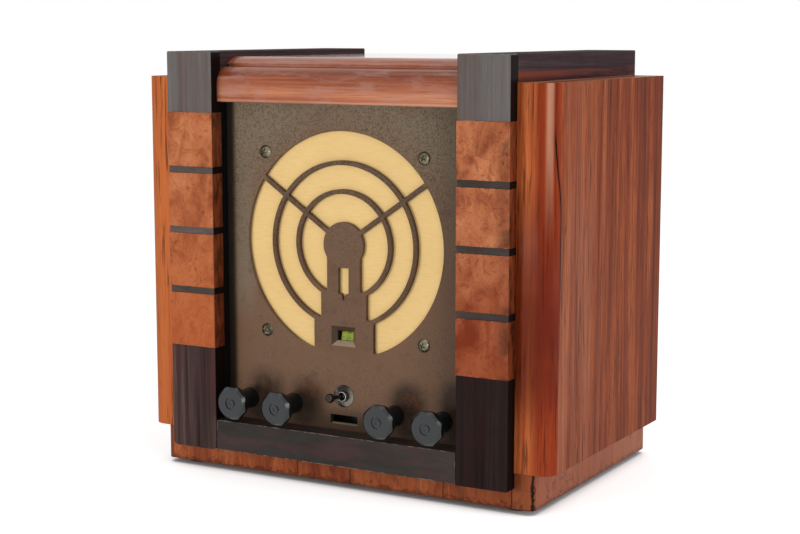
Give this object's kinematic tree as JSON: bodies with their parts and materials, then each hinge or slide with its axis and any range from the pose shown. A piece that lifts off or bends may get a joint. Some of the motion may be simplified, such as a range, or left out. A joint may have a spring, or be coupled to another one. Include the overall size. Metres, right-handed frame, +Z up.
{
  "type": "table radio receiver",
  "caption": "Table radio receiver with a veneered cabinet, blocked posts, round pierced grille, drum dial, control knobs and a toggle switch.",
  "frame": {"origin": "under the middle of the whole set, knobs included, on the surface that it stands on", "axes": "+X to the right as seen from the front, +Y into the cabinet, +Z up"},
  "size_m": [0.466, 0.315, 0.435],
  "materials": {
    "burr_veneer": "polished",
    "ebonised_wood": "polished",
    "side_veneer": "polished",
    "plinth_veneer": "polished",
    "moulding_veneer": "polished",
    "black_stain": "satin",
    "plain_timber": "matte",
    "back_board": "matte",
    "panel_lacquer": "crackled",
    "bronzed_screw": "bronzed",
    "grille_cloth": "woven",
    "black_steel": "satin",
    "cone_paper": "matte",
    "magnet_steel": "painted",
    "plated_steel": "zinc plated",
    "spindle_steel": "ground",
    "core_iron": "varnished",
    "waxed_board": "waxed",
    "vane_aluminium": "satin",
    "drum_card": "matte",
    "scale_film": "printed",
    "cast_brass": "machined",
    "waxed_cord": "waxed",
    "lamp_fitting": "satin",
    "valve_glass": "clear",
    "valve_bakelite": "moulded",
    "knob_bakelite": "moulded",
    "worn_nickel": "worn",
    "switch_black": "moulded",
    "strip_board": "laminated",
    "pad_felt": "felt"
  },
  "bodies": {
    "cabinet": {"feet": "pad_felt", "plinth": "plinth_veneer", "cabinet_floor": "plain_timber", "side_panel_left": "side_veneer", "side_panel_right": "side_veneer", "front_stiles": "black_stain", "post_heads": "ebonised_wood", "post_feet": "ebonised_wood", "post_blocks_left": "burr_veneer", "post_blocks_right": "burr_veneer", "post_strips": "ebonised_wood", "bottom_rail": "ebonised_wood", "top_moulding": "moulding_veneer", "top_board": "moulding_veneer", "carcass_top": "plain_timber", "top_rails": "ebonised_wood", "rear_posts": "ebonised_wood", "rear_cover": "back_board", "rear_cover_screws": "plated_steel", "front_panel": "panel_lacquer", "panel_screws": "bronzed_screw", "speaker_cloth": "grille_cloth", "baffle_board": "plain_timber", "speaker_basket": "black_steel", "speaker_cone": "cone_paper", "speaker_magnet": "magnet_steel", "speaker_screws": "plated_steel", "chassis": "plated_steel", "chassis_walls": "plated_steel", "chassis_bolts": "plated_steel", "transformer_core": "core_iron", "transformer_shrouds": "black_steel", "output_transformer": "core_iron", "capacitor_blocks": "waxed_board", "capacitor_frame": "plated_steel", "capacitor_stators": "vane_aluminium", "drive_cord": "waxed_cord", "dial_lamp": "lamp_fitting", "valve_glasses": "valve_glass", "valve_bases": "valve_bakelite", "valve_sockets": "valve_bakelite", "chassis_cans": "vane_aluminium", "control_bodies": "plated_steel", "toggle_body": "switch_black", "toggle_plate": "worn_nickel", "socket_strip": "strip_board", "socket_tubes": "cast_brass"},
    "volume": {"volume_knob": "knob_bakelite", "volume_spindle": "spindle_steel"},
    "tuning": {"tuning_knob": "knob_bakelite", "tuning_spindle": "spindle_steel"},
    "wave": {"wave_knob": "knob_bakelite", "wave_spindle": "spindle_steel"},
    "tone": {"tone_knob": "knob_bakelite", "tone_spindle": "spindle_steel"},
    "gang": {"capacitor_rotor": "vane_aluminium", "dial_drum": "drum_card", "dial_scale": "scale_film", "cord_wheel": "cast_brass"},
    "toggle": {"toggle_lever": "worn_nickel"}
  },
  "joints": [
    {"name": "gang_turn", "type": "hinge", "parent": "cabinet", "child": "gang", "pos_m": [0, -0.07926, 0.145], "axis": [1, 0, 0], "range_deg": [-90, 90]},
    {"name": "tuning_turn", "type": "hinge", "parent": "cabinet", "child": "tuning", "pos_m": [-0.0594, -0.1305, 0.079], "axis": [0, 1, 0], "range_deg": [-540, 540]},
    {"name": "volume_turn", "type": "hinge", "parent": "cabinet", "child": "volume", "pos_m": [-0.113, -0.1305, 0.079], "axis": [0, 1, 0], "range_deg": [0, 300]},
    {"name": "wave_turn", "type": "hinge", "parent": "cabinet", "child": "wave", "pos_m": [0.0594, -0.1305, 0.079], "axis": [0, 1, 0], "range_deg": [-30, 30]},
    {"name": "tone_turn", "type": "hinge", "parent": "cabinet", "child": "tone", "pos_m": [0.113, -0.1305, 0.079], "axis": [0, 1, 0], "range_deg": [-150, 150]},
    {"name": "toggle_throw", "type": "hinge", "parent": "cabinet", "child": "toggle", "pos_m": [0, -0.1215, 0.0923], "axis": [0, 0, 1], "range_deg": [0, 48]}
  ],
  "couplings": [
    {"joint": "tuning_turn", "follows": "gang_turn", "ratio": 6}
  ]
}
